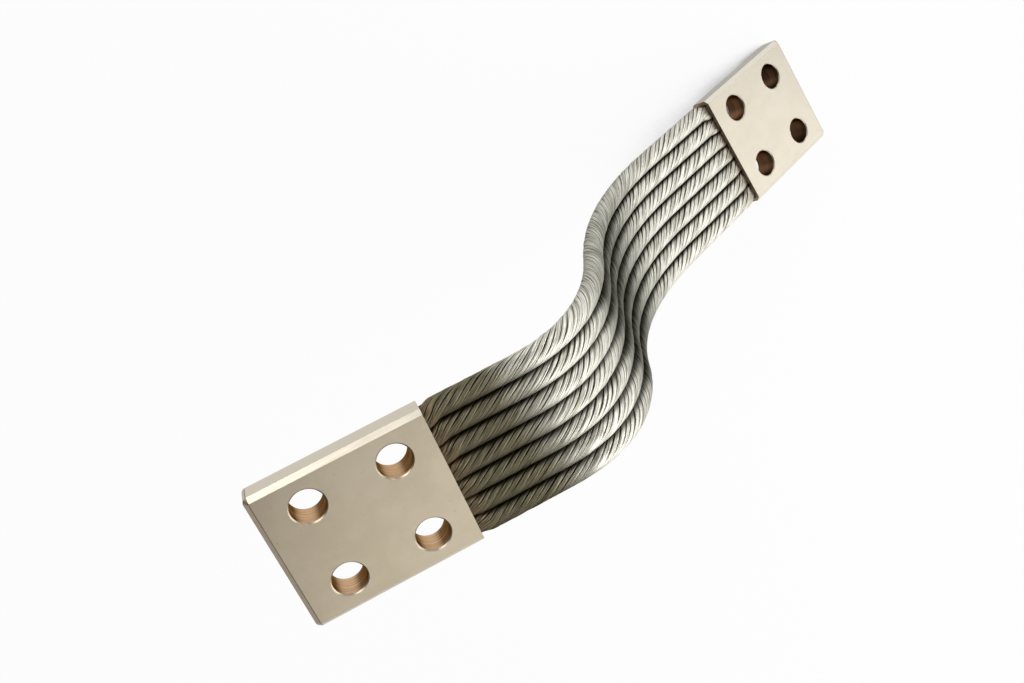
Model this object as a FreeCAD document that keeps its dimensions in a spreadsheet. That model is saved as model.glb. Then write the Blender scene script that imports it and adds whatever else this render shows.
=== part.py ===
import FreeCAD, Part
import math
import os

import Sketcher

Vector = FreeCAD.Vector
Rotation = FreeCAD.Rotation
Placement = FreeCAD.Placement

# Flexible busbar connector: stranded ropes side by side between two pressed tube terminals.
# The near terminal lies flat, its underside on Z = 0 and its hole pattern about the origin.
# The ropes leave it along +X, bend down, then bend back up on a slanting crease.

# Driving sizes in millimetres, angles in degrees. A run ends at a corner of the route, which
# a bend then rounds.
SIZES = [
    ("hole_diameter", 14.0),
    ("hole_pitch", 36.0),
    ("hole_chamfer", 0.6),
    ("outer_length", 38.0),
    ("mouth_length", 35.0),
    ("sleeve_width", 64.0),
    ("sleeve_thickness", 12.0),
    ("sleeve_wall", 2.0),
    ("corner_radius", 2.5),
    ("edge_chamfer", 2.0),
    ("seat_depth", 6.0),
    ("tail_corner", 0.8),
    ("rope_count", 7),
    ("rope_pitch", 9.15),
    ("rope_clearance", 0.3),
    ("flare_length", 6.0),
    ("first_run_length", 77.0),
    ("first_bend_radius", 60.0),
    ("first_bend_angle", 69.5),
    ("middle_run_length", 122.0),
    ("second_bend_radius", 150.0),
    ("second_bend_angle", 46.5),
    ("crease_angle", 14.5),
    ("last_run_length", 108.0),
]

# A chamfer or cut corner is held under this share of what it takes away from, and a bend under
# the other share of the runs beside it.
CORNER_SHARE = 0.49
BEND_SHARE = 0.98

# A plain eight-sided rope stands for the twisted strands: half of a flat takes this angle.
ROPE_FLATS = 8
HALF_FLAT = 180 / ROPE_FLATS

# A sketch's number for the centre of a circle.
CENTRE_INDEX = 3

# Two places closer than this are the same.
TINY = 0.01

doc = FreeCAD.newDocument("busbar_connector")


def make_sheet():
    sheet = doc.addObject("Spreadsheet::Sheet", "Sizes")
    for row, (name, value) in enumerate(SIZES, start=1):
        sheet.set(f"A{row}", name)
        sheet.set(f"B{row}", str(value))
        sheet.setAlias(f"B{row}", name)
    doc.recompute()
    return sheet


sheet = make_sheet()


def size(name):
    return float(sheet.get(name))


# Sizes that several pieces share, worked out from the sheet.
EDGE_CHAMFER = f"min(Sizes.edge_chamfer; 2 * {CORNER_SHARE} * Sizes.corner_radius; Sizes.sleeve_wall)"
CAVITY_HALF_WIDTH = "Sizes.sleeve_width / 2 - Sizes.sleeve_wall"
CAVITY_HALF_HEIGHT = "Sizes.sleeve_thickness / 2 - Sizes.sleeve_wall"
ROPE_CORNER_RADIUS = f"(Sizes.rope_pitch - Sizes.rope_clearance) / 2 / cos({HALF_FLAT} deg)"

rope_count = int(size("rope_count"))
mid_height = size("sleeve_thickness") / 2
cavity_height = size("sleeve_thickness") - 2 * size("sleeve_wall")
end_width = (size("sleeve_width") - 2 * size("sleeve_wall")) / rope_count
rope_radius = (size("rope_pitch") - size("rope_clearance")) / 2


def plane_of(body, role):
    return next(item for item in body.Origin.OriginFeatures if item.Role == role)


def new_sketch(body, role, name):
    sketch = body.newObject("Sketcher::SketchObject", name)
    sketch.AttachmentSupport = (plane_of(body, role), [""])
    sketch.MapMode = "FlatFace"
    return sketch


def bind(sketch, constraint, name, expression):
    index = sketch.addConstraint(constraint)
    sketch.renameConstraint(index, name)
    sketch.setExpression(f"Constraints.{name}", expression)


def rectangle_sketch(body, role, name, left, right, half_height):
    """A rectangle from -left to right and to half_height either side of the sketch's X axis."""
    sketch = new_sketch(body, role, name)
    corners = [Vector(-1, -1, 0), Vector(1, -1, 0), Vector(1, 1, 0), Vector(-1, 1, 0)]
    for index, corner in enumerate(corners):
        sketch.addGeometry(Part.LineSegment(corner, corners[(index + 1) % 4]), False)
    for index in range(4):
        sketch.addConstraint(Sketcher.Constraint("Coincident", index, 2, (index + 1) % 4, 1))
        direction = "Horizontal" if index % 2 == 0 else "Vertical"
        sketch.addConstraint(Sketcher.Constraint(direction, index))
    bind(sketch, Sketcher.Constraint("DistanceX", 0, 1, -1, 1, 1.0), "left", left)
    bind(sketch, Sketcher.Constraint("DistanceX", -1, 1, 1, 2, 1.0), "right", right)
    bind(sketch, Sketcher.Constraint("DistanceY", 0, 1, -1, 1, 1.0), "bottom", half_height)
    bind(sketch, Sketcher.Constraint("DistanceY", -1, 1, 1, 2, 1.0), "top", half_height)
    doc.recompute()
    return sketch


def hole_sketch(body, name):
    """The square pattern of bolt holes about the origin."""
    sketch = new_sketch(body, "XY_Plane", name)
    for index, (across, along) in enumerate([(1, 1), (-1, 1), (-1, -1), (1, -1)]):
        sketch.addGeometry(Part.Circle(Vector(across, along, 0), Vector(0, 0, 1), 0.5), False)
        bind(sketch, Sketcher.Constraint("Diameter", index, 1.0), f"hole_{index}", "Sizes.hole_diameter")
        for axis, side in (("X", across), ("Y", along)):
            ends = (-1, 1, index, CENTRE_INDEX) if side > 0 else (index, CENTRE_INDEX, -1, 1)
            constraint = Sketcher.Constraint(f"Distance{axis}", *ends, 1.0)
            bind(sketch, constraint, f"hole_{index}_{axis.lower()}", "Sizes.hole_pitch / 2")
    doc.recompute()
    return sketch


def pad(body, sketch, name, length):
    feature = body.newObject("PartDesign::Pad", name)
    feature.Profile = sketch
    feature.setExpression("Length", length)
    doc.recompute()
    return feature


def cut_through(body, sketch, name):
    feature = body.newObject("PartDesign::Pocket", name)
    feature.Profile = sketch
    feature.Type = "ThroughAll"
    feature.Midplane = True
    before = body.Shape.Volume
    doc.recompute()
    if body.Shape.Volume >= before:
        raise RuntimeError(f"{name} cuts nothing")
    return feature


def dress(body, kind, name, wanted, amount):
    """A fillet or chamfer on those edges of the body for which wanted(edge) is true."""
    base = body.Tip
    edges = [f"Edge{i}" for i, edge in enumerate(base.Shape.Edges, start=1) if wanted(edge)]
    feature = body.newObject(f"PartDesign::{kind}", name)
    feature.Base = (base, edges)
    feature.setExpression("Radius" if kind == "Fillet" else "Size", amount)
    doc.recompute()
    return feature


def outer_corner(edge):
    """True for the upright edges at the outer end of the terminal."""
    upright = edge.BoundBox.ZLength > edge.BoundBox.DiagonalLength - TINY
    return upright and abs(edge.BoundBox.XMax + size("outer_length")) < TINY


def long_or_outer(edge):
    """True for the edges round both flat faces, apart from those at the mouth."""
    level = edge.BoundBox.ZLength < TINY
    return level and edge.BoundBox.XMin < size("mouth_length") - TINY


def upper_rim(edge):
    """True for the rims of the bolt holes on the upper face."""
    if not isinstance(edge.Curve, Part.Circle):
        return False
    on_top = abs(edge.CenterOfMass.z - size("sleeve_thickness")) < TINY
    return on_top and abs(edge.Curve.Radius - size("hole_diameter") / 2) < TINY


def make_sleeve(label):
    """Tube pressed flat: a bar with broken edges, a cavity right through and four bolt holes.

    The rims are broken on the upper face only, because the underside is the contact face.
    """
    body = doc.addObject("PartDesign::Body", label)
    plan = rectangle_sketch(
        body, "XY_Plane", f"{label}_plan",
        "Sizes.outer_length", "Sizes.mouth_length", "Sizes.sleeve_width / 2",
    )
    pad(body, plan, f"{label}_bar", "Sizes.sleeve_thickness")
    dress(body, "Fillet", f"{label}_corners", outer_corner, "Sizes.corner_radius")
    dress(body, "Chamfer", f"{label}_edges", long_or_outer, EDGE_CHAMFER)
    cavity = rectangle_sketch(
        body, "YZ_Plane", f"{label}_cavity_outline",
        CAVITY_HALF_WIDTH, CAVITY_HALF_WIDTH, CAVITY_HALF_HEIGHT,
    )
    cavity.setExpression("AttachmentOffset.Base.y", "Sizes.sleeve_thickness / 2")
    doc.recompute()
    cut_through(body, cavity, f"{label}_cavity")
    cut_through(body, hole_sketch(body, f"{label}_hole_pattern"), f"{label}_holes")
    dress(body, "Chamfer", f"{label}_hole_rims", upper_rim, "Sizes.hole_chamfer")
    return body


def make_pressed_ends(label):
    """The rope ends pressed into one block in the sleeve, drilled with it, flush at the outer end."""
    body = doc.addObject("PartDesign::Body", label)
    plan = rectangle_sketch(
        body, "XY_Plane", f"{label}_plan",
        "Sizes.outer_length", "Sizes.mouth_length - Sizes.seat_depth", CAVITY_HALF_WIDTH,
    )
    plan.setExpression("AttachmentOffset.Base.z", "Sizes.sleeve_wall")
    doc.recompute()
    pad(body, plan, f"{label}_block", "Sizes.sleeve_thickness - 2 * Sizes.sleeve_wall")
    cut_through(body, hole_sketch(body, f"{label}_hole_pattern"), f"{label}_holes")
    return body


def bend_points(corner, before, after, radius):
    """Start, middle and end of the arc that rounds a corner of the route."""
    half_turn = before.getAngle(after) / 2
    reach = radius * math.tan(half_turn)
    inward = (after - before).normalize()
    middle = corner + inward * (radius / math.cos(half_turn) - radius)
    return corner - before * reach, middle, corner + after * reach


def make_route():
    """Directions of the middle and last runs, and the turns of the rope's and the terminal's far end."""
    first_turn = Rotation(Vector(0, 1, 0), size("first_bend_angle"))
    middle = first_turn.multVec(NEAR_DIRECTION)
    slant = math.radians(size("crease_angle"))
    crease = Vector(0, 1, 0) * math.cos(slant) + middle * math.sin(slant)
    far_turn = Rotation(crease, -size("second_bend_angle")) * first_turn
    last = far_turn.multVec(NEAR_DIRECTION)
    return middle, last, Rotation(middle, last) * first_turn, far_turn


NEAR_DIRECTION = Vector(1, 0, 0)
MIDDLE_DIRECTION, LAST_DIRECTION, ROPE_TURN, FAR_TURN = make_route()


def route_points(offset):
    """Corners of the route at this offset across the bundle, from the near mouth to the far one."""
    slip = offset * math.tan(math.radians(size("crease_angle")))
    near_mouth = Vector(size("mouth_length"), offset, mid_height)
    first_corner = near_mouth + NEAR_DIRECTION * size("first_run_length")
    second_corner = first_corner + MIDDLE_DIRECTION * (size("middle_run_length") + slip)
    far_mouth = second_corner + LAST_DIRECTION * (size("last_run_length") - slip)
    return near_mouth, first_corner, second_corner, far_mouth


def bend_radii():
    """Radii of the two bends, held to what the shortest runs leave room for."""
    slip = (rope_count - 1) / 2 * size("rope_pitch") * math.tan(math.radians(size("crease_angle")))
    first = size("first_bend_radius") * math.tan(NEAR_DIRECTION.getAngle(MIDDLE_DIRECTION) / 2)
    second = size("second_bend_radius") * math.tan(MIDDLE_DIRECTION.getAngle(LAST_DIRECTION) / 2)
    room = BEND_SHARE * min(
        (size("first_run_length") - size("flare_length")) / first,
        (size("middle_run_length") - slip) / (first + second),
        (size("last_run_length") - slip - size("flare_length")) / second,
    )
    share = min(1, room)
    return share * size("first_bend_radius"), share * size("second_bend_radius")


def route_edges(offset):
    """Runs and arcs of the round stretch of the rope at this offset, from flare to flare."""
    near_mouth, first_corner, second_corner, far_mouth = route_points(offset)
    start = near_mouth + NEAR_DIRECTION * size("flare_length")
    end = far_mouth - LAST_DIRECTION * size("flare_length")
    first_radius, second_radius = bend_radii()
    first = bend_points(first_corner, NEAR_DIRECTION, MIDDLE_DIRECTION, first_radius)
    second = bend_points(second_corner, MIDDLE_DIRECTION, LAST_DIRECTION, second_radius)
    return [
        Part.LineSegment(start, first[0]).toShape(),
        Part.Arc(*first).toShape(),
        Part.LineSegment(first[2], second[0]).toShape(),
        Part.Arc(*second).toShape(),
        Part.LineSegment(second[2], end).toShape(),
    ]


def far_placement():
    """The far terminal's own frame, turned about so that its mouth faces the ropes."""
    far_mouth = route_points(0.0)[-1]
    centre = far_mouth + LAST_DIRECTION * size("mouth_length")
    underside = centre - FAR_TURN.multVec(Vector(0, 0, mid_height))
    return Placement(underside, FAR_TURN * Rotation(Vector(0, 0, 1), 180))


def eight_sided(half_width, half_height, corner):
    """Closed outline of a bar with its corners cut off, as (across, up) pairs."""
    upper = [
        (half_width, half_height - corner),
        (half_width - corner, half_height),
        (corner - half_width, half_height),
        (-half_width, half_height - corner),
    ]
    return upper + [(-across, -up) for across, up in upper]


def free_outline():
    corner = rope_radius * (1 - math.tan(math.radians(HALF_FLAT)))
    return eight_sided(rope_radius, rope_radius, corner)


def pressed_outline():
    """The share of the cavity that one rope fills."""
    corner = min(size("tail_corner"), CORNER_SHARE * min(end_width, cavity_height))
    return eight_sided(end_width / 2, cavity_height / 2, corner)


def add_wire(name, wire, placement):
    feature = doc.addObject("Part::Feature", name)
    feature.Shape = wire
    feature.Placement = placement
    return feature


def add_outline(name, outline, placement):
    points = [Vector(0, across, up) for across, up in outline]
    return add_wire(name, Part.makePolygon(points + points[:1]), placement)


def make_rope_end(label, terminal, offset, flare):
    """Pressed tail in the mouth of a terminal, then the flare to the free rope's own outline."""
    seat = Vector(size("mouth_length") - size("seat_depth"), offset, mid_height)
    mouth = Vector(size("mouth_length"), offset, mid_height)
    loft = doc.addObject("Part::Loft", label)
    loft.Sections = [
        add_outline(f"{label}_seat", pressed_outline(), terminal * Placement(seat, Rotation())),
        add_outline(f"{label}_mouth", pressed_outline(), terminal * Placement(mouth, Rotation())),
        add_outline(f"{label}_flare", free_outline(), flare),
    ]
    loft.Solid = True
    loft.Ruled = True
    return loft


def make_rope(label, rank, far):
    """One rope: a free run along its route, with a pressed tail at each end."""
    edges = route_edges(rank * size("rope_pitch"))
    start = edges[0].Vertexes[0].Point
    end = edges[-1].Vertexes[-1].Point
    section = doc.addObject("Part::RegularPolygon", f"{label}_section")
    section.Polygon = ROPE_FLATS
    section.setExpression("Circumradius", ROPE_CORNER_RADIUS)
    across = Rotation(Vector(0, 1, 0), 90) * Rotation(Vector(0, 0, 1), HALF_FLAT)
    section.Placement = Placement(start, across)
    run = doc.addObject("Part::Sweep", f"{label}_run")
    run.Sections = [section]
    route = add_wire(f"{label}_route", Part.Wire(edges), Placement())
    run.Spine = (route, [f"Edge{index}" for index in range(1, len(edges) + 1)])
    run.Solid = True
    near_end = make_rope_end(
        f"{label}_near_end", Placement(), rank * end_width, Placement(start, Rotation()))
    far_end = make_rope_end(
        f"{label}_far_end", far, -rank * end_width, Placement(end, ROPE_TURN))
    rope = doc.addObject("Part::MultiFuse", label)
    rope.Shapes = [near_end, run, far_end]
    rope.Refine = True
    doc.recompute()
    length = sum(edge.Length for edge in edges)
    area = ROPE_FLATS * rope_radius**2 * math.tan(math.radians(HALF_FLAT))
    if abs(run.Shape.Volume / (area * length) - 1) > 0.01:
        raise RuntimeError(f"{label} isn't as long as its route")
    whole = length + 2 * (size("flare_length") + size("seat_depth"))
    print(label, "length", round(whole, 1), "volume", round(rope.Shape.Volume, 1))
    return rope


def make_parts():
    far = far_placement()
    parts = [
        make_sleeve("near_sleeve"),
        make_sleeve("far_sleeve"),
        make_pressed_ends("near_pressed_ends"),
        make_pressed_ends("far_pressed_ends"),
    ]
    for part in parts:
        if part.Label.startswith("far"):
            part.Placement = far
    middle_rank = (rope_count - 1) / 2
    for number in range(rope_count):
        parts.append(make_rope(f"rope_{number + 1}", middle_rank - number, far))
    doc.recompute()
    return parts


def check(parts):
    for item in doc.Objects:
        if "Invalid" in item.State or "Error" in item.State:
            raise RuntimeError(f"{item.Name} failed: {item.State}")
    for part in parts:
        if part.Shape.isNull() or not part.Shape.isValid() or len(part.Shape.Solids) != 1:
            raise RuntimeError(f"{part.Label} isn't one valid solid")


def write(parts):
    os.makedirs("parts", exist_ok=True)
    for part in parts:
        part.Shape.exportStep(f"parts/{part.Label}.step")


parts = make_parts()
check(parts)
write(parts)
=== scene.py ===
import math

import bpy
import numpy as np
from mathutils import Matrix, Quaternion, Vector


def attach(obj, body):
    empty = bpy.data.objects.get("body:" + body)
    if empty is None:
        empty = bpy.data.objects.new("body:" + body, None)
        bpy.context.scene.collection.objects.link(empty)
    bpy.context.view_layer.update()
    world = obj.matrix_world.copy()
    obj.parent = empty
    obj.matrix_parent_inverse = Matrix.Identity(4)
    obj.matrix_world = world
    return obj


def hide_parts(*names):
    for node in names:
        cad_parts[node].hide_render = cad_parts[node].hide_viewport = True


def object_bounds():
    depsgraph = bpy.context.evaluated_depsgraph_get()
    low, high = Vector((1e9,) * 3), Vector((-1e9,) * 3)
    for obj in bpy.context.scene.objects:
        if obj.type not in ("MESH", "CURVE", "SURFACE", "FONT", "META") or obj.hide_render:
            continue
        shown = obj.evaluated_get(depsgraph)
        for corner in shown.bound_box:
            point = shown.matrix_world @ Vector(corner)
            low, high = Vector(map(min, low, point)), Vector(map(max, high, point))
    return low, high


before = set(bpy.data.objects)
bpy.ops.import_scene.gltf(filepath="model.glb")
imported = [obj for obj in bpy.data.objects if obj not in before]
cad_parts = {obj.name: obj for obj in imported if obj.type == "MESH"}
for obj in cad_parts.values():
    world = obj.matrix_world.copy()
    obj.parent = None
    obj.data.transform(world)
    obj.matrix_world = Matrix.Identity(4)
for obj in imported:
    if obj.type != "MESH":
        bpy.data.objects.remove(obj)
CAD_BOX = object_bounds()

MM = 0.001
SEED = 7

# The terminals and the rope route, in millimetres and degrees, as in the part's source.
HOLE_DIAMETER = 14.0
HOLE_PITCH = 36.0
OUTER_LENGTH = 38.0
MOUTH_LENGTH = 35.0
SLEEVE_WIDTH = 64.0
SLEEVE_THICKNESS = 12.0
SLEEVE_WALL = 2.0
EDGE_CHAMFER = 2.0
SEAT_DEPTH = 6.0
ROPE_COUNT = 7
ROPE_PITCH = 9.15
FLARE_LENGTH = 6.0
FIRST_RUN = 77.0
FIRST_BEND_ANGLE = 69.5
MIDDLE_RUN = 122.0
SECOND_BEND_ANGLE = 46.5
CREASE_ANGLE = 14.5
LAST_RUN = 108.0

MID_HEIGHT = SLEEVE_THICKNESS / 2
END_WIDTH = (SLEEVE_WIDTH - 2 * SLEEVE_WALL) / ROPE_COUNT
END_HEIGHT = SLEEVE_THICKNESS - 2 * SLEEVE_WALL

# How the ropes are laid. A strand is drawn by points closest together beside its slits, which
# gape on one side of the rope and close on the other: the open ends are cosines of the angle from
# the left, and a wave along the rope moves them.
ROPE_RADIUS = 4.56
STRANDS = 10
STRAND_STEPS = np.array([0.0, 0.045, 0.11, 0.20, 0.34, 0.5, 0.66, 0.80, 0.89, 0.955])
LAY_LENGTH = 44.0
LAY_SPREAD = (0.95, 1.05)
RING_STEP = 1.2
CURVE_STEPS = 40
SLIT_DEPTH = 1.2
SLIT_SHARPNESS = 4.0
CLOSED_SLIT = 0.12
OPEN_ENDS = (-0.45, 0.65)
OPEN_SPREAD = (0.6, 1.1)
OPEN_WAVE = 0.22
OPEN_WAVE_LENGTH = 6.0

# No two strands lie alike: they sink below the rope's surface and sit beside their place.
SINK_SPREAD = (0.0, 0.22)
SINK_WAVE = 0.08
SINK_WAVE_LENGTH = 15.0
SHIFT_SPREAD = (-0.2, 0.2)

# The power of a free section's outline, what pressing adds to it and how far pressing closes slits.
FREE_POWER = 2.2
PRESSED_POWER = 2.4
PRESSED_CLOSING = 0.6

# A rope's sideways direction turns to the far terminal's between these shares of its length. The
# ropes on the right bend a little later than the rest: this much for each step from the middle.
ROLL_ENDS = (0.45, 0.8)
LATE_BEND = 2.0

# The ropes are darkened with olive-tinted painted shade from the near mouth to between these
# distances along the first, and a step further on each that follows. They are darkened with painted
# shade, and their slits closed, on the steep stretch, where the tangent drops by these shares. The
# outermost rope closes sooner. The painted shade sets in between two distances more, which are also
# a step further on each rope.
OLIVE_SHADE_ENDS = np.array([28.5, 59.5])
OLIVE_SHADE_STEP = 1.6
SHADE_STARTS = np.array([84.0, 110.0])
SHADE_STEP = 2.5
STEEPNESS = (0.62, 0.88)
OUTER_STEEPNESS = (0.3, 0.75)
STEEP_SHADE = 0.5
OUTER_SHADE = 0.135
STEEP_CLOSING = 0.8

# Where ropes lie side by side they have no slits, and the crevices are darkened with painted shade,
# with more of it where the steep stretch's painted shade has set in. These ends are cosines of the
# angle from the side that faces the neighbour. The steep stretch widens the crevice on the left.
TOUCH_ENDS = (0.86, 0.98)
CREVICE_SHADE = (0.835, 0.97)
CREVICE_ENDS = (0.62, 0.95)
STEEP_CREVICE = 0.7
SHARP_CREVICE_ENDS = (0.88, 1.0)

# The ropes' colours.
DARK_WIRE = (0.45, 0.43, 0.345, 1)
BRIGHT_WIRE = (0.955, 0.94, 0.85, 1)
HAIR = (0.12, 0.115, 0.085, 1)
COPPER_WIRE = (0.34, 0.20, 0.105, 1)
# Olive-tinted painted shade along the near stretch.
OLIVE_SHADE = (0.278, 0.256, 0.187, 1)
# Dark painted shade of the steep stretch and the crevices.
SHADE_TONE = (0.03, 0.03, 0.026, 1)
EDGE_TINT = (0.15, 0.15, 0.135, 1)
# Painted shade in the slits.
SLIT_SHADE = (0.02, 0.018, 0.012, 1)

# The ropes' texture: coarse and fine wires across a strand, their drift and their breaks to the
# metre, and how they mix. The fine ones lie on another layer of the noise. The ends are values of
# the noise, but shares of a strand's width for slits and metres from a rope's end for mouths.
COARSE_WIRES = 4.0
COARSE_DRIFT = 25.0
COARSE_BREAKS = 40.0
COARSE_SHARE = 0.6
FINE_WIRES = 7.0
FINE_BREAKS = 60.0
FINE_LAYER = 4.0
FINE_SHARE = 0.4
TONE_ENDS = (0.40, 0.52)
HAIR_ENDS = (0.0, 0.06)
HAIR_SHARE = 0.45
SLIT_ENDS = (0.05, 0.17)
SLIT_RAGGEDNESS = 0.16
SLIT_SHADE_SHARE = 0.95
MOUTH_ENDS = (0.007, 0.017)
WARM_ENDS = (0.40, 0.60)
WARM_SHARE = 0.5

# The terminals' colours: two of tin, two on the long edges, for the chamfer and the side, and two
# of bare copper in the holes. The chamfer's lighter tone is a painted highlight and the far
# terminal's darker side is painted shade; the copper is brighter on one side of each hole, a
# painted highlight, and darker in the far holes, painted shade. The outer end is browner, as bare
# copper, and darker, as painted shade, with a dark line where its chamfer starts. The wall tint
# colours what the holes' walls mirror at a low angle.
NEAR_TIN = ((0.57, 0.505, 0.395, 1), (0.63, 0.565, 0.45, 1))
NEAR_EDGE_LIGHTING = ((0.65, 0.595, 0.49, 1), (0.63, 0.575, 0.475, 1))
NEAR_COPPER = ((0.085, 0.045, 0.023, 1), (0.78, 0.53, 0.33, 1))
FAR_TIN = ((0.51, 0.467, 0.385, 1), (0.552, 0.508, 0.424, 1))
FAR_EDGE_LIGHTING = ((0.76, 0.715, 0.62, 1), (0.40, 0.375, 0.325, 1))
# The far holes' copper is darker: painted shade.
FAR_SHADED_COPPER = ((0.055, 0.027, 0.013, 1), (0.24, 0.13, 0.075, 1))
END_TIN_AND_SHADE = (0.40, 0.31, 0.21, 1)
END_TIN_AND_SHADE_SHARE = 0.6
DARK_LINE = (0.12, 0.09, 0.06, 1)
DARK_LINE_SHARE = 0.75
MARK = (0.42, 0.35, 0.26, 1)
MARK_SHARE = 0.25
CUT_COPPER = (0.26, 0.20, 0.135, 1)
WALL_TINT = (0.4, 0.3, 0.2, 1)
WHITE = (1, 1, 1, 1)

# The terminals' texture: scales to the metre, ends in values of the noise, and the side of each
# hole that takes a painted highlight as a direction along and across, with ends that are cosines of
# the angle from it.
CLOUD_SCALE = 55.0
CLOUD_ENDS = (0.35, 0.68)
BRUSH_SCALES = (60.0, 1400.0)
BRUSH_ENDS = (0.3, 0.7)
MARK_SCALE = 420.0
MARK_ENDS = (0.66, 0.74)
TURNING_SCALES = (1600.0, 90.0)
PATCH_ENDS = (0.35, 0.65)
PATCH_SHARE = 0.35
LIT_SIDE = (-0.41, -0.91, 0)
LIT_SIDE_ENDS = (0.7, 1.0)
LIT_SIDE_SHARE = 0.65
PLAIN_ROUGHNESS = 0.34
BRUSH_ROUGHNESS = 0.05
CLOUD_ROUGHNESS = 0.08

# How far from a hole's wall, a face and the dark line at the outer end their colour reaches, in
# millimetres.
WALL_REACH = 0.1
FACE_REACH = 0.05
DARK_LINE_REACH = 0.2

# The floor: half its side in metres, its gap under the part in millimetres, and the grey that takes
# the lamps' shadows. The rest of it is a share of plain white. Right under the part the white
# darkens too: the ends are shares of open sky, as far up as the reach in metres.
FLOOR_SIZE = 6.0
FLOOR_GAP = 0.5
FLOOR_GREY = (0.86, 0.86, 0.86, 1)
FLOOR_WHITE = 0.95
SHADOW_REACH = 0.10
SHELTER_ENDS = (0.15, 0.62)

# Each lamp's name, place, aim, size, power and colour, in metres and watts.
WARM_LIGHT = (1.0, 0.95, 0.87)
WHITE_LIGHT = (1.0, 1.0, 1.0)
LAMPS = [
    ("side_panel", (1.08, -0.54, 0.42), (0.15, 0, -0.08), (1.8, 1.1), 12.4, WHITE_LIGHT),
    ("crest_panel", (0.60, -0.43, 0.87), (0.10, 0, 0), (0.7, 0.5), 3.2, WHITE_LIGHT),
    ("edge_panel", (-0.35, 1.1, 0.62), (0, 0, 0), (0.9, 0.5), 5.5, WHITE_LIGHT),
    ("far_edge_panel", (0.95, 1.05, 0.25), (0.28, 0, -0.15), (0.6, 0.5), 4.0, WHITE_LIGHT),
    ("overhead", (-0.06, -0.68, 0.96), (0, 0, 0), (0.5, 0.6), 1.36, WARM_LIGHT),
]
WORLD_COLOUR = (0.95, 0.97, 1.0, 1)
WORLD_STRENGTH = 0.07

# The camera of the photograph.
CAMERA_PLACE = Vector((28.0, 195.0, 358.7)) * MM
CAMERA_TARGET = Vector((85.5, 12.7, -48.7)) * MM
CAMERA_ROLL = -136.9
FOCAL_PIXELS = 1024.5
FRAME_WIDTH = 1024.0
SENSOR_WIDTH = 36.0
CLIP_START = 0.01


class Route:
    """Directions and corners that every rope shares."""

    def __init__(self):
        first_turn = Quaternion((0, 1, 0), math.radians(FIRST_BEND_ANGLE))
        self.near = Vector((1, 0, 0))
        self.across = Vector((0, 1, 0))
        self.middle = first_turn @ self.near
        slant = math.radians(CREASE_ANGLE)
        crease = self.across * math.cos(slant) + self.middle * math.sin(slant)
        far_turn = Quaternion(crease, -math.radians(SECOND_BEND_ANGLE)) @ first_turn
        self.last = far_turn @ self.near
        self.far_across = far_turn @ self.across
        self.far_up = far_turn @ Vector((0, 0, 1))
        far_mouth = self.points(0.0)[-2]
        self.far_centre = far_mouth + self.last * MOUTH_LENGTH - self.far_up * MID_HEIGHT

    def points(self, rank):
        """Corners of the route at this rank, from the rope's seat in one mouth to the other."""
        offset = rank * ROPE_PITCH
        slip = offset * math.tan(math.radians(CREASE_ANGLE))
        near_mouth = Vector((MOUTH_LENGTH, offset, MID_HEIGHT))
        first_corner = near_mouth + self.near * FIRST_RUN
        second_corner = first_corner + self.middle * (MIDDLE_RUN + slip)
        far_mouth = second_corner + self.last * (LAST_RUN - slip)
        near_seat = near_mouth - self.near * SEAT_DEPTH
        far_seat = far_mouth + self.last * SEAT_DEPTH
        first_corner += self.near * LATE_BEND * max(0, -rank)
        return [near_seat, near_mouth, first_corner, second_corner, far_mouth, far_seat]


ROUTE = Route()


def smooth_line(name, points):
    """Points of the NURBS line through a route's control points, in millimetres."""
    curve = bpy.data.curves.new(name, "CURVE")
    curve.dimensions = "3D"
    curve.resolution_u = CURVE_STEPS
    spline = curve.splines.new("NURBS")
    spline.points.add(len(points) - 1)
    for target, point in zip(spline.points, points):
        target.co = (*point, 1.0)
    spline.order_u = 3
    spline.use_endpoint_u = True
    holder = bpy.data.objects.new(name, curve)
    mesh = bpy.data.meshes.new_from_object(holder)
    line = np.array([vertex.co for vertex in mesh.vertices])
    bpy.data.objects.remove(holder)
    bpy.data.curves.remove(curve)
    bpy.data.meshes.remove(mesh)
    return line


def even_steps(line, step):
    """The line again, cut in equal steps, with the distance along it."""
    travel = np.concatenate([[0], np.cumsum(np.linalg.norm(np.diff(line, axis=0), axis=1))])
    count = int(round(travel[-1] / step)) + 1
    along = np.linspace(0, travel[-1], count)
    return np.stack([np.interp(along, travel, line[:, axis]) for axis in range(3)], axis=1), along


def unit(vectors):
    return vectors / np.linalg.norm(vectors, axis=-1, keepdims=True)


def ease(value, low, high):
    share = np.clip((value - low) / (high - low), 0, 1)
    return share * share * (3 - 2 * share)


def rope_frames(line, along):
    """Tangent, sideways and upward directions along a rope."""
    tangent = unit(np.gradient(line, axis=0))
    share = ease(along, *[end * along[-1] for end in ROLL_ENDS])[:, None]
    side = unit((1 - share) * np.array(ROUTE.across) + share * np.array(ROUTE.far_across))
    up = unit(np.cross(tangent, side))
    return tangent, np.cross(up, tangent), up


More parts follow.
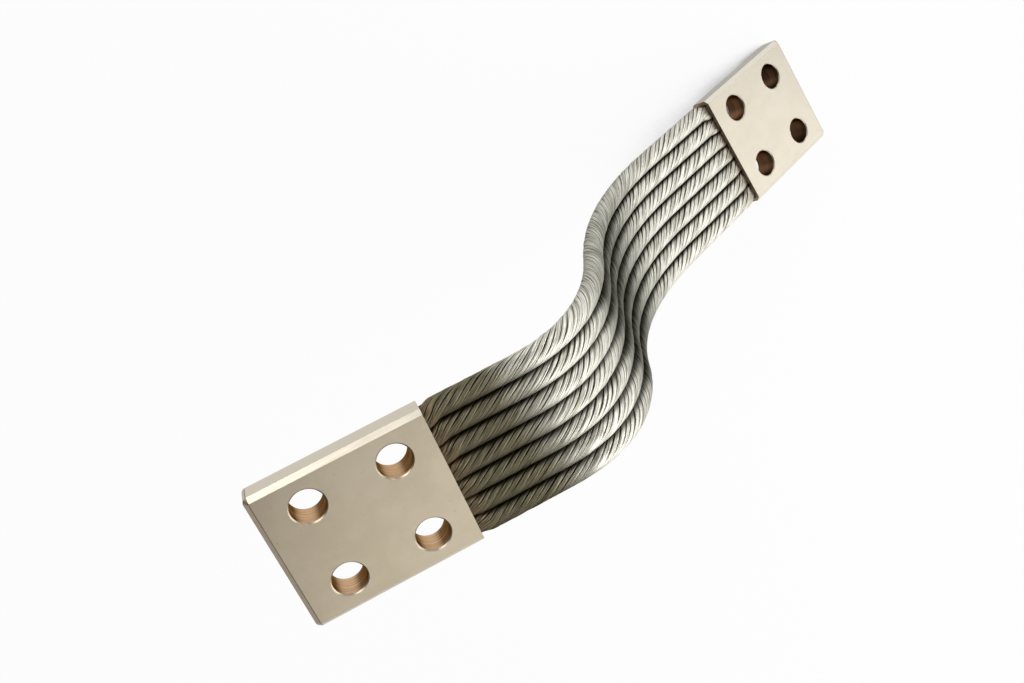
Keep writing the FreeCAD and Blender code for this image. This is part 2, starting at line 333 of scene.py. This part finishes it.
def rope_surface(number, random):
    """Rings of vertices of a laid rope and the distance of each along it.

    With them go values for each vertex: how far the slits gape, how much olive-tinted painted shade
    it takes and how much dark painted shade.
    """
    rank = (ROPE_COUNT - 1) / 2 - number
    line, along = even_steps(smooth_line("route", ROUTE.points(rank)), RING_STEP)
    tangent, side, up = rope_frames(line, along)
    across = np.tile(np.abs(2 * STRAND_STEPS - 1), STRANDS)
    strand = np.repeat(np.arange(STRANDS), len(STRAND_STEPS))
    step = np.tile(STRAND_STEPS, STRANDS)
    slit = np.where(step < 0.5, strand, strand + 1) % STRANDS
    has_left = number > 0
    has_right = number < ROPE_COUNT - 1
    steep = ease(-tangent[:, 2], *(STEEPNESS if has_left else OUTER_STEEPNESS))[:, None]

    from_end = np.minimum(along, along[-1] - along)
    pressed = 1 - ease(from_end, SEAT_DEPTH, SEAT_DEPTH + FLARE_LENGTH)[:, None]
    half_width = ROPE_RADIUS + pressed * (END_WIDTH / 2 - ROPE_RADIUS)
    half_height = ROPE_RADIUS + pressed * (END_HEIGHT / 2 - ROPE_RADIUS)
    power = FREE_POWER + PRESSED_POWER * pressed
    depth = SLIT_DEPTH * (1 - PRESSED_CLOSING * pressed)
    drawn_in = rank * (END_WIDTH - ROPE_PITCH) * pressed

    turns = along * STRANDS / LAY_LENGTH * random.uniform(*LAY_SPREAD)
    lay = random.uniform(0, STRANDS) - turns
    slack = random.uniform(*SINK_SPREAD, STRANDS)
    wander = random.uniform(0, 2 * math.pi, STRANDS)
    shift = random.uniform(*SHIFT_SPREAD, STRANDS)
    share = random.uniform(*OPEN_SPREAD, STRANDS)
    place = strand + step + (1 - step) * shift[strand] + step * shift[(strand + 1) % STRANDS]
    sink_wave = 1 + np.sin(along[:, None] / SINK_WAVE_LENGTH + wander[strand])
    sunk = slack[strand] + SINK_WAVE * sink_wave

    angle = (place + lay[:, None]) * (2 * math.pi / STRANDS)
    cos = np.cos(angle)
    sin = np.sin(angle)
    outline = np.abs(cos / half_width) ** power + np.abs(sin / half_height) ** power
    wave = np.sin(along[:, None] / OPEN_WAVE_LENGTH + wander[slit])
    opened = ease(cos + OPEN_WAVE * wave, *OPEN_ENDS) * share[slit] * (1 - STEEP_CLOSING * steep)
    gape = CLOSED_SLIT + (1 - CLOSED_SLIT) * opened
    touching = has_left * ease(cos, *TOUCH_ENDS) + has_right * ease(-cos, *TOUCH_ENDS)
    hollow = depth * gape * across**SLIT_SHARPNESS + sunk * (1 - across)
    radius = outline ** (-1 / power) - hollow * (1 - touching)
    sideways = (radius * cos + drawn_in)[..., None]
    upwards = (radius * sin)[..., None]
    rings = line[:, None] + side[:, None] * sideways + up[:, None] * upwards

    level = np.ones_like(gape)
    # Olive-tinted painted shade along the near stretch.
    olive_shade = 1 - ease(along, *(OLIVE_SHADE_ENDS + number * OLIVE_SHADE_STEP))[:, None]
    # Dark painted shade on the steep stretch and in the crevices between ropes.
    shade_started = ease(along, *(SHADE_STARTS + number * SHADE_STEP))[:, None]
    shaded = shade_started * steep
    unshaded = 1 - shaded * (STEEP_SHADE if has_left else OUTER_SHADE)
    low, high = CREVICE_ENDS
    crevice = ease(cos, low - STEEP_CREVICE * shaded, high)
    crevice_shade = CREVICE_SHADE[0] + shade_started * (CREVICE_SHADE[1] - CREVICE_SHADE[0])
    unshaded = unshaded * (1 - has_left * crevice_shade * crevice)
    unshaded = unshaded * (1 - has_right * crevice_shade * ease(-cos, *SHARP_CREVICE_ENDS))
    return rings, along, {"gape": gape, "olive_shade": olive_shade * level, "painted_shade": 1 - unshaded * level}


def tube_mesh(name, rings, along, values):
    """A closed tube through the rings, with the strand and the distance along in its UV map."""
    count, size = rings.shape[:2]
    vertices = np.concatenate([rings.reshape(-1, 3), rings[[0, -1]].mean(axis=1)]) * MM
    ring, slot = np.meshgrid(np.arange(count - 1), np.arange(size), indexing="ij")
    here = ring * size
    there = here + size
    after = (slot + 1) % size
    quads = np.stack([here + slot, here + after, there + after, there + slot], axis=-1)
    faces = [tuple(quad) for quad in quads.reshape(-1, 4).tolist()]
    hub = count * size
    last = (count - 1) * size
    for index in range(size):
        following = (index + 1) % size
        faces.append((hub, following, index))
        faces.append((hub + 1, last + index, last + following))
    mesh = bpy.data.meshes.new(name)
    mesh.from_pydata(vertices.tolist(), [], faces)
    mesh.polygons.foreach_set("use_smooth", [True] * len(faces))

    strand = (np.arange(STRANDS)[:, None] + STRAND_STEPS).ravel()
    low = strand[slot]
    high = np.append(strand, STRANDS)[slot + 1]
    start = along[ring] * MM
    end = along[ring + 1] * MM
    corners = np.stack([low, start, high, start, high, end, low, end], axis=-1)
    caps = np.zeros(2 * len(mesh.loops) - corners.size)
    layer = mesh.uv_layers.new(name="lay")
    layer.data.foreach_set("uv", np.concatenate([corners.ravel(), caps]))
    for key, value in values.items():
        attribute = mesh.attributes.new(key, "FLOAT", "POINT")
        attribute.data.foreach_set("value", np.append(value.ravel(), [1.0, 1.0]))
    return mesh


class Nodes:
    """A new material's node tree, with short ways to add to it."""

    def __init__(self, name):
        self.material = bpy.data.materials.new(name)
        self.material.use_nodes = True
        self.tree = self.material.node_tree
        self.shader = self.tree.nodes["Principled BSDF"]

    def add(self, kind, inputs=None, **settings):
        node = self.tree.nodes.new(kind)
        for key, value in settings.items():
            setattr(node, key, value)
        for key, value in (inputs or {}).items():
            self.put(node.inputs[key], value)
        return node

    def put(self, socket, value):
        if isinstance(value, bpy.types.NodeSocket):
            self.tree.links.new(value, socket)
        else:
            socket.default_value = value

    def math(self, operation, first, second=0.0):
        node = self.add("ShaderNodeMath", {0: first, 1: second}, operation=operation)
        return node.outputs[0]

    def plus(self, first, second):
        return self.math("ADD", first, second)

    def minus(self, first, second):
        return self.math("SUBTRACT", first, second)

    def times(self, first, second):
        return self.math("MULTIPLY", first, second)

    def magnitude(self, value):
        return self.math("ABSOLUTE", value)

    def rest(self, share):
        return self.minus(1.0, share)

    def vector(self, operation, first, second=(0, 0, 0)):
        node = self.add("ShaderNodeVectorMath", {0: first, 1: second}, operation=operation)
        return node.outputs["Value" if operation in ("DOT_PRODUCT", "LENGTH") else "Vector"]

    def attribute(self, name):
        return self.add("ShaderNodeAttribute", attribute_name=name).outputs["Fac"]

    def joined(self, x, y, z=0.0):
        return self.add("ShaderNodeCombineXYZ", {"X": x, "Y": y, "Z": z}).outputs[0]

    def noise(self, vector, scale=1.0, detail=3.0, roughness=0.5):
        inputs = {"Vector": vector, "Scale": scale, "Detail": detail, "Roughness": roughness}
        return self.add("ShaderNodeTexNoise", inputs).outputs["Fac"]

    def ramp(self, value, low, high):
        inputs = {"Value": value, "From Min": low, "From Max": high}
        node = self.add("ShaderNodeMapRange", inputs, interpolation_type="SMOOTHSTEP")
        return node.outputs["Result"]

    def mix(self, factor, first, second, blend="MIX"):
        node = self.add("ShaderNodeMix", data_type="RGBA", blend_type=blend)
        self.put(node.inputs["Factor"], factor)
        self.put(node.inputs["A"], first)
        self.put(node.inputs["B"], second)
        return node.outputs["Result"]

    def bump(self, height, strength, distance):
        inputs = {"Height": height, "Strength": strength, "Distance": distance}
        return self.add("ShaderNodeBump", inputs).outputs["Normal"]

    def set(self, **values):
        for key, value in values.items():
            self.put(self.shader.inputs[key.replace("_", " ")], value)


def rope_material(length):
    """Tinned copper wires with dark hairs and copper by the mouths, and painted shade in the slits,
    olive and dark.
    """
    nodes = Nodes("tinned_rope")
    lay = nodes.add("ShaderNodeUVMap", uv_map="lay").outputs["UV"]
    parts = nodes.add("ShaderNodeSeparateXYZ", {"Vector": lay})
    strand = parts.outputs["X"]
    along = parts.outputs["Y"]
    gape, olive_shade, painted_shade = [nodes.attribute(name) for name in ("gape", "olive_shade", "painted_shade")]
    place = nodes.math("FRACT", strand)
    inside = nodes.minus(0.5, nodes.magnitude(nodes.minus(place, 0.5)))

    drift = nodes.times(along, COARSE_DRIFT)
    coarse_across = nodes.plus(nodes.times(strand, COARSE_WIRES), drift)
    coarse_place = nodes.joined(coarse_across, nodes.times(along, COARSE_BREAKS))
    coarse = nodes.noise(coarse_place, detail=2.0)
    fine_across = nodes.times(strand, FINE_WIRES)
    fine_place = nodes.joined(fine_across, nodes.times(along, FINE_BREAKS), FINE_LAYER)
    fine = nodes.noise(fine_place, detail=1.0)
    streak = nodes.plus(nodes.times(coarse, COARSE_SHARE), nodes.times(fine, FINE_SHARE))
    hair = nodes.rest(nodes.ramp(nodes.magnitude(nodes.minus(fine, 0.5)), *HAIR_ENDS))
    ragged = nodes.plus(inside, nodes.times(nodes.minus(coarse, 0.5), SLIT_RAGGEDNESS))
    # The slits' painted shade, widest where they gape.
    slit = nodes.rest(nodes.ramp(nodes.math("DIVIDE", ragged, gape), *SLIT_ENDS))
    from_end = nodes.math("MINIMUM", along, nodes.minus(length, along))
    mouth = nodes.rest(nodes.ramp(from_end, *MOUTH_ENDS))
    warm = nodes.times(mouth, nodes.ramp(coarse, *WARM_ENDS))

    tone = nodes.mix(nodes.ramp(streak, *TONE_ENDS), DARK_WIRE, BRIGHT_WIRE)
    tone = nodes.mix(nodes.times(hair, HAIR_SHARE), tone, HAIR)
    # Olive-tinted painted shade along the near stretch.
    tone = nodes.mix(olive_shade, tone, OLIVE_SHADE, "MULTIPLY")
    # Dark painted shade on the steep stretch and in the crevices.
    tone = nodes.mix(painted_shade, tone, SHADE_TONE, "MULTIPLY")
    tone = nodes.mix(nodes.times(warm, WARM_SHARE), tone, COPPER_WIRE)
    # Painted shade in the slits.
    tone = nodes.mix(nodes.times(slit, SLIT_SHADE_SHARE), tone, SLIT_SHADE)
    tangent = nodes.add("ShaderNodeTangent", direction_type="UV_MAP", uv_map="lay").outputs[0]
    nodes.set(
        Base_Color=tone,
        Metallic=1.0,
        Roughness=0.46,
        Anisotropic=0.75,
        Tangent=tangent,
        Specular_Tint=EDGE_TINT,
        Normal=nodes.bump(streak, strength=1.0, distance=0.4 * MM),
    )
    return nodes.material


def terminal_material(name, centre, axes, tones, edge_lighting, copper):
    """Satin tinned copper, bare on the walls of the drilled holes and on the cut at the mouth."""
    nodes = Nodes(name)
    spot = nodes.add("ShaderNodeTexCoord").outputs["Object"]
    local = nodes.vector("SUBTRACT", spot, tuple(centre))
    along, across, height = [nodes.vector("DOT_PRODUCT", local, tuple(axis)) for axis in axes]
    from_middle = nodes.magnitude(across)
    half = HOLE_PITCH / 2 * MM
    hole_x = nodes.minus(nodes.magnitude(along), half)
    hole_y = nodes.minus(from_middle, half)
    reach = nodes.vector("LENGTH", nodes.joined(hole_x, hole_y))
    wall = nodes.math("LESS_THAN", reach, (HOLE_DIAMETER / 2 + WALL_REACH) * MM)
    cut = nodes.math("GREATER_THAN", along, (MOUTH_LENGTH - FACE_REACH) * MM)
    bevel_start = (OUTER_LENGTH - EDGE_CHAMFER) * MM
    beyond = nodes.math("LESS_THAN", along, -bevel_start)
    from_bevel = nodes.magnitude(nodes.plus(along, bevel_start))
    dark_line = nodes.math("LESS_THAN", from_bevel, DARK_LINE_REACH * MM)

    cloud = nodes.noise(spot, CLOUD_SCALE, detail=4.0, roughness=0.55)
    brush_along, brush_across = BRUSH_SCALES
    brush_place = nodes.joined(nodes.times(along, brush_along), nodes.times(across, brush_across))
    brush = nodes.noise(brush_place, roughness=0.6)
    marks = nodes.ramp(nodes.noise(spot, MARK_SCALE, detail=2.0), *MARK_ENDS)
    tin = nodes.mix(nodes.ramp(cloud, *CLOUD_ENDS), *tones)
    tin = nodes.mix(nodes.times(marks, MARK_SHARE), tin, MARK)
    # Painted highlight on the chamfer and, on the far terminal, painted shade on the side.
    for tone, depth in zip(edge_lighting, (EDGE_CHAMFER, FACE_REACH)):
        edge = nodes.math("GREATER_THAN", from_middle, (SLEEVE_WIDTH / 2 - depth) * MM)
        tin = nodes.mix(edge, tin, tone)
    # The outer end is browner, as bare copper, and darker, as painted shade.
    tin = nodes.mix(nodes.times(beyond, END_TIN_AND_SHADE_SHARE), tin, END_TIN_AND_SHADE)
    # A dark line where the outer end's chamfer starts.
    tin = nodes.mix(nodes.times(dark_line, DARK_LINE_SHARE), tin, DARK_LINE)

    turn_height, turn_across = TURNING_SCALES
    turning = nodes.joined(nodes.times(height, turn_height), nodes.times(across, turn_across))
    patches = nodes.ramp(nodes.noise(turning), *PATCH_ENDS)
    # A painted highlight on one side of each hole's wall, mixed with machining patches.
    ahead = nodes.minus(along, nodes.times(nodes.math("SIGN", along), half))
    aside = nodes.minus(across, nodes.times(nodes.math("SIGN", across), half))
    around = nodes.vector("NORMALIZE", nodes.joined(ahead, aside))
    lit_side = nodes.ramp(nodes.vector("DOT_PRODUCT", around, LIT_SIDE), *LIT_SIDE_ENDS)
    patches_and_highlight = nodes.plus(nodes.times(patches, PATCH_SHARE), nodes.times(lit_side, LIT_SIDE_SHARE))
    bare = nodes.mix(cut, nodes.mix(patches_and_highlight, *copper), CUT_COPPER)

    brushed = nodes.times(nodes.ramp(brush, *BRUSH_ENDS), BRUSH_ROUGHNESS)
    rough = nodes.plus(nodes.plus(brushed, PLAIN_ROUGHNESS), nodes.times(cloud, CLOUD_ROUGHNESS))
    nodes.set(
        Base_Color=nodes.mix(nodes.math("MAXIMUM", wall, cut), tin, bare),
        Metallic=1.0,
        Roughness=rough,
        Specular_Tint=nodes.mix(wall, WHITE, WALL_TINT),
        Normal=nodes.bump(brush, strength=0.1, distance=0.05 * MM),
    )
    return nodes.material


def dress_terminals():
    near_axes = (ROUTE.near, ROUTE.across, Vector((0, 0, 1)))
    near = terminal_material("tinned_near", Vector(), near_axes, NEAR_TIN, NEAR_EDGE_LIGHTING, NEAR_COPPER)
    far_axes = (-ROUTE.last, ROUTE.far_across, ROUTE.far_up)
    far_centre = ROUTE.far_centre * MM
    far = terminal_material("tinned_far", far_centre, far_axes, FAR_TIN, FAR_EDGE_LIGHTING, FAR_SHADED_COPPER)
    for name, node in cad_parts.items():
        if name.startswith("rope"):
            continue
        material = near if name.startswith("near") else far
        node.data.materials.clear()
        node.data.materials.append(material)


def lay_ropes():
    random = np.random.default_rng(SEED)
    material = None
    for number in range(ROPE_COUNT):
        rings, along, values = rope_surface(number, random)
        if material is None:
            material = rope_material(along[-1] * MM)
        name = f"laid_rope_{number + 1}"
        piece = bpy.data.objects.new(name, tube_mesh(name, rings, along, values))
        piece.data.materials.append(material)
        bpy.context.scene.collection.objects.link(piece)
        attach(piece, "root")
        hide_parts(f"rope_{number + 1}")


def make_floor():
    mesh = bpy.data.meshes.new("floor")
    size = FLOOR_SIZE
    corners = [(-size, -size, 0), (size, -size, 0), (size, size, 0), (-size, size, 0)]
    mesh.from_pydata(corners, [], [(0, 1, 2, 3)])
    floor = bpy.data.objects.new("floor", mesh)
    low = CAD_BOX[0]
    floor.location = (0, 0, low[2] - FLOOR_GAP * MM)
    bpy.context.scene.collection.objects.link(floor)
    nodes = Nodes("floor_white")
    nodes.set(Base_Color=FLOOR_GREY, Roughness=0.9)
    rays = nodes.add("ShaderNodeLightPath").outputs
    sky = nodes.add("ShaderNodeAmbientOcclusion", {"Distance": SHADOW_REACH}).outputs["AO"]
    strength = nodes.ramp(sky, *SHELTER_ENDS)
    white = nodes.add("ShaderNodeEmission", {"Color": WHITE, "Strength": strength})
    mirrored = nodes.plus(rays["Is Glossy Ray"], rays["Is Transmission Ray"])
    seen = nodes.times(nodes.plus(rays["Is Camera Ray"], mirrored), FLOOR_WHITE)
    inputs = {0: seen, 1: nodes.shader.outputs[0], 2: white.outputs[0]}
    blend = nodes.add("ShaderNodeMixShader", inputs)
    nodes.put(nodes.tree.nodes["Material Output"].inputs["Surface"], blend.outputs[0])
    mesh.materials.append(nodes.material)


def make_light(name, place, aim, size, power, colour):
    light = bpy.data.lights.new(name, "AREA")
    light.shape = "RECTANGLE"
    light.size, light.size_y = size
    light.energy = power
    light.color = colour
    holder = bpy.data.objects.new(name, light)
    holder.location = place
    holder.rotation_euler = (Vector(aim) - Vector(place)).to_track_quat("-Z", "Y").to_euler()
    bpy.context.scene.collection.objects.link(holder)


def make_lights():
    world = bpy.data.worlds.new("studio")
    bpy.context.scene.world = world
    world.use_nodes = True
    background = world.node_tree.nodes["Background"]
    background.inputs["Color"].default_value = WORLD_COLOUR
    background.inputs["Strength"].default_value = WORLD_STRENGTH
    for lamp in LAMPS:
        make_light(*lamp)


def make_camera():
    camera = bpy.data.cameras.new("camera")
    camera.sensor_fit = "HORIZONTAL"
    camera.sensor_width = SENSOR_WIDTH
    camera.lens = FOCAL_PIXELS / FRAME_WIDTH * SENSOR_WIDTH
    camera.clip_start = CLIP_START
    holder = bpy.data.objects.new("camera", camera)
    aim = (CAMERA_TARGET - CAMERA_PLACE).to_track_quat("-Z", "Y").to_matrix()
    roll = Matrix.Rotation(-math.radians(CAMERA_ROLL), 3, "Z")
    holder.matrix_world = Matrix.Translation(CAMERA_PLACE) @ (aim @ roll).to_4x4()
    bpy.context.scene.collection.objects.link(holder)
    bpy.context.scene.camera = holder


bpy.context.scene.view_settings.view_transform = "Standard"
dress_terminals()
lay_ropes()
make_floor()
make_lights()
make_camera()
